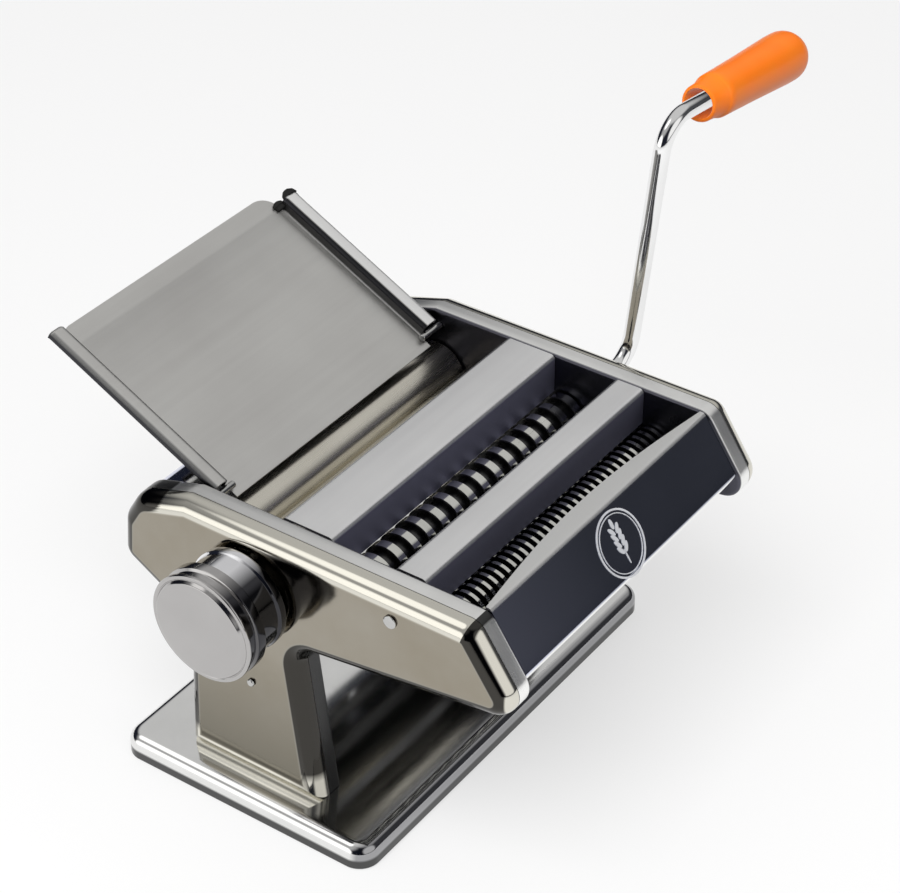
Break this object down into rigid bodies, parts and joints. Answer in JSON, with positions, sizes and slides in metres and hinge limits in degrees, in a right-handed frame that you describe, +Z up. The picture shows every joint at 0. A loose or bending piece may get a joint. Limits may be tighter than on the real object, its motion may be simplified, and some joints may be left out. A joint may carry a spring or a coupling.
{
  "type": "hand cranked pasta machine",
  "caption": "Hand cranked pasta machine with smooth rollers, wide and narrow cutters, thickness dial, sloping feed tray and a removable crank, on a pressed metal base.",
  "frame": {"origin": "table surface under the middle of the base plate", "axes": "+X along the rollers towards the crank, +Y towards the feed tray, +Z up"},
  "size_m": [0.3566, 0.2306, 0.2281],
  "materials": {
    "casing_chrome": "mirror",
    "base_chrome": "mirror",
    "plate_steel": "satin",
    "cover_steel": "satin",
    "panel_mirror": "dark mirror",
    "tray_steel": "brushed",
    "roller_steel": "polished",
    "cutter_steel": "polished",
    "gear_steel": "machined",
    "bush_nylon": "moulded",
    "foot_rubber": "matte",
    "knob_chrome": "polished",
    "spring_steel": "drawn wire",
    "crank_chrome": "polished",
    "grip_plastic": "gloss",
    "fixing_steel": "polished"
  },
  "bodies": {
    "machine_frame": {"base_plate": "base_chrome", "foot_front_left": "foot_rubber", "foot_front_right": "foot_rubber", "foot_rear_left": "foot_rubber", "foot_rear_right": "foot_rubber", "base_screw_left": "fixing_steel", "base_screw_right": "fixing_steel", "left_casing": "casing_chrome", "right_casing": "casing_chrome", "left_casing_rivet": "fixing_steel", "right_casing_rivet": "fixing_steel", "setting_pointer": "fixing_steel", "left_side_plate": "plate_steel", "right_side_plate": "plate_steel", "roller_cover": "cover_steel", "divider_cover": "cover_steel", "front_cover": "panel_mirror", "rear_cover": "cover_steel", "tie_rod_front": "gear_steel", "tie_rod_middle": "gear_steel", "tie_rod_rear": "gear_steel", "front_scraper": "cover_steel", "rear_scraper": "cover_steel", "wide_comb_front": "cover_steel", "wide_comb_rear": "cover_steel", "narrow_comb_front": "cover_steel", "narrow_comb_rear": "cover_steel", "tray_pin_left": "fixing_steel", "tray_pin_right": "fixing_steel", "left_bush_smooth_rear": "bush_nylon", "right_bush_smooth_rear": "bush_nylon", "left_bush_wide_rear": "bush_nylon", "right_bush_wide_rear": "bush_nylon", "left_bush_wide_front": "bush_nylon", "right_bush_wide_front": "bush_nylon", "left_bush_narrow_rear": "bush_nylon", "right_bush_narrow_rear": "bush_nylon", "left_bush_narrow_front": "bush_nylon", "right_bush_narrow_front": "bush_nylon"},
    "roller_carrier": {"left_bush_smooth_front": "bush_nylon", "right_bush_smooth_front": "bush_nylon"},
    "front_roller": {"front_roller": "roller_steel", "front_roller_gear": "gear_steel"},
    "rear_roller": {"rear_roller": "roller_steel", "rear_roller_gear": "gear_steel"},
    "wide_rear": {"wide_cutter_rear": "cutter_steel", "wide_rear_gear": "gear_steel"},
    "wide_front": {"wide_cutter_front": "cutter_steel", "wide_front_gear": "gear_steel"},
    "narrow_rear": {"narrow_cutter_rear": "cutter_steel", "narrow_rear_gear": "gear_steel"},
    "narrow_front": {"narrow_cutter_front": "cutter_steel", "narrow_front_gear": "gear_steel"},
    "dial": {"dial_hub": "gear_steel", "knob_spring": "spring_steel"},
    "knob": {"knob_sleeve": "knob_chrome", "knob_cap": "knob_chrome"},
    "crank": {"crank_rod": "crank_chrome"},
    "grip": {"grip": "grip_plastic"},
    "tray": {"feed_tray": "tray_steel"}
  },
  "joints": [
    {"name": "rear_roller_turn", "type": "hinge", "parent": "machine_frame", "child": "rear_roller", "pos_m": [0, 0.0284, 0.1055], "axis": [1, 0, 0], "continuous": true},
    {"name": "dial_turn", "type": "hinge", "parent": "machine_frame", "child": "dial", "pos_m": [-0.1, 0, 0.1055], "axis": [1, 0, 0], "range_deg": [0, 160]},
    {"name": "knob_pull", "type": "slide", "parent": "dial", "child": "knob", "axis": [-1, 0, 0], "range_m": [0, 0.0035], "stiffness_N_per_m": 900, "springref_m": -0.003, "deforming": ["knob_spring"]},
    {"name": "nip_shift", "type": "slide", "parent": "machine_frame", "child": "roller_carrier", "axis": [0, -1, 0], "range_m": [0, 0.0026]},
    {"name": "front_roller_turn", "type": "hinge", "parent": "roller_carrier", "child": "front_roller", "pos_m": [0, 0, 0.1055], "axis": [1, 0, 0], "continuous": true},
    {"name": "wide_rear_turn", "type": "hinge", "parent": "machine_frame", "child": "wide_rear", "pos_m": [0, -0.036, 0.1085], "axis": [1, 0, 0], "continuous": true},
    {"name": "wide_front_turn", "type": "hinge", "parent": "machine_frame", "child": "wide_front", "pos_m": [0, -0.0532, 0.1085], "axis": [1, 0, 0], "continuous": true},
    {"name": "narrow_rear_turn", "type": "hinge", "parent": "machine_frame", "child": "narrow_rear", "pos_m": [0, -0.077, 0.1085], "axis": [1, 0, 0], "continuous": true},
    {"name": "narrow_front_turn", "type": "hinge", "parent": "machine_frame", "child": "narrow_front", "pos_m": [0, -0.0942, 0.1085], "axis": [1, 0, 0], "continuous": true},
    {"name": "crank_pull_out", "type": "slide", "parent": "wide_rear", "child": "crank", "axis": [1, 0, 0], "range_m": [0, 0.027]},
    {"name": "grip_spin", "type": "hinge", "parent": "crank", "child": "grip", "pos_m": [0.12904, -0.04566, 0.22348], "axis": [0.9914, 0.0109, -0.1301], "continuous": true},
    {"name": "tray_slide", "type": "slide", "parent": "machine_frame", "child": "tray", "axis": [0, 0.891, 0.454], "range_m": [0, 0.06]}
  ],
  "couplings": [
    {"joint": "dial_turn", "follows": "nip_shift", "rad_per_m": 1074},
    {"joint": "front_roller_turn", "follows": "rear_roller_turn", "ratio": -1},
    {"joint": "wide_front_turn", "follows": "wide_rear_turn", "ratio": -1},
    {"joint": "narrow_front_turn", "follows": "narrow_rear_turn", "ratio": -1}
  ]
}
